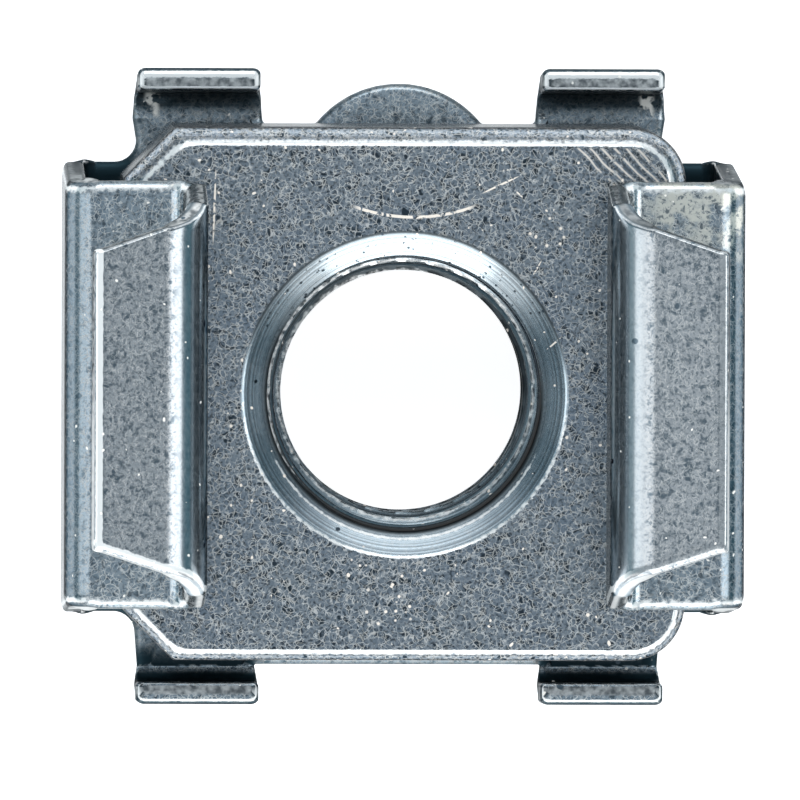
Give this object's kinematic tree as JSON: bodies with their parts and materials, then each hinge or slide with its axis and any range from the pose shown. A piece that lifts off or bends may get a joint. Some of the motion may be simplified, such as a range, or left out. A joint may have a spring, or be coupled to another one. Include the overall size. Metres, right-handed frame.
{
  "type": "rack cage nut",
  "caption": "Square steel nut held loosely in a folded spring-steel cage with two hooked wings that clip into a square rack hole.",
  "frame": {"origin": "the point where the screw's axis meets the rear face of the cage's base plate", "axes": "+Z along the screw's axis, out of the front of the nut, between the hooks; +X across the two hooks; +Y towards the edge with the round tongue"},
  "size_m": [0.014, 0.013, 0.0092],
  "materials": {
    "spring_steel": "bright zinc plating with a blue passivate, on sheared and folded sheet",
    "nut_steel": "bright zinc plating with a blue passivate, on a cropped and tapped nut"
  },
  "bodies": {
    "root": {"cage": "spring_steel", "nut": "nut_steel"}
  },
  "joints": []
}
